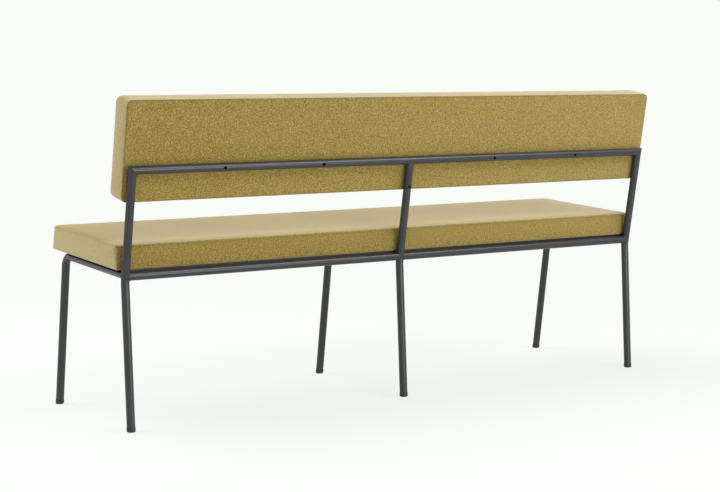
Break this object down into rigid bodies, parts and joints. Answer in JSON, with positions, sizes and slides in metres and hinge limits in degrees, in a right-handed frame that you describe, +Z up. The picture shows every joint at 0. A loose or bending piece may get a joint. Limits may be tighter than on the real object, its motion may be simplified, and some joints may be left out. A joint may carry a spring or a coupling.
{
  "type": "upholstered bench with backrest",
  "caption": "Upholstered bench with a backrest: long box seat and back pads on a slim welded round-tube frame with raked legs and plastic feet.",
  "frame": {"origin": "on the floor, under the middle of the bounding box", "axes": "+X along the bench to the sitter's left, -Y to the front, +Z up"},
  "size_m": [1.733, 0.5008, 0.8479],
  "materials": {
    "frame_paint": "graphite grey fine powder coat, satin",
    "glide_plastic": "matt black moulded plastic",
    "plywood": "raw birch plywood",
    "foam": "open-cell upholstery foam",
    "upholstery": "mottled mustard felted wool cloth",
    "dust_cloth": "thin black non-woven cloth",
    "zinc_steel": "zinc-plated steel"
  },
  "bodies": {
    "root": {"top_rail": "frame_paint", "centre_rear_post": "frame_paint", "left_rear_post": "frame_paint", "right_rear_post": "frame_paint", "left_rear_rail": "frame_paint", "right_rear_rail": "frame_paint", "left_front_leg": "frame_paint", "centre_front_leg": "frame_paint", "right_front_leg": "frame_paint", "left_front_glide": "glide_plastic", "left_rear_glide": "glide_plastic", "centre_front_glide": "glide_plastic", "centre_rear_glide": "glide_plastic", "right_front_glide": "glide_plastic", "right_rear_glide": "glide_plastic", "seat_board": "plywood", "back_board": "plywood", "seat_foam": "foam", "back_foam": "foam", "seat_cover": "upholstery", "back_cover": "upholstery", "back_rear_panel": "upholstery", "seat_dust_cover": "dust_cloth", "left_seat_strip": "glide_plastic", "right_seat_strip": "glide_plastic", "seat_screws": "zinc_steel", "back_screws": "zinc_steel"}
  },
  "joints": []
}
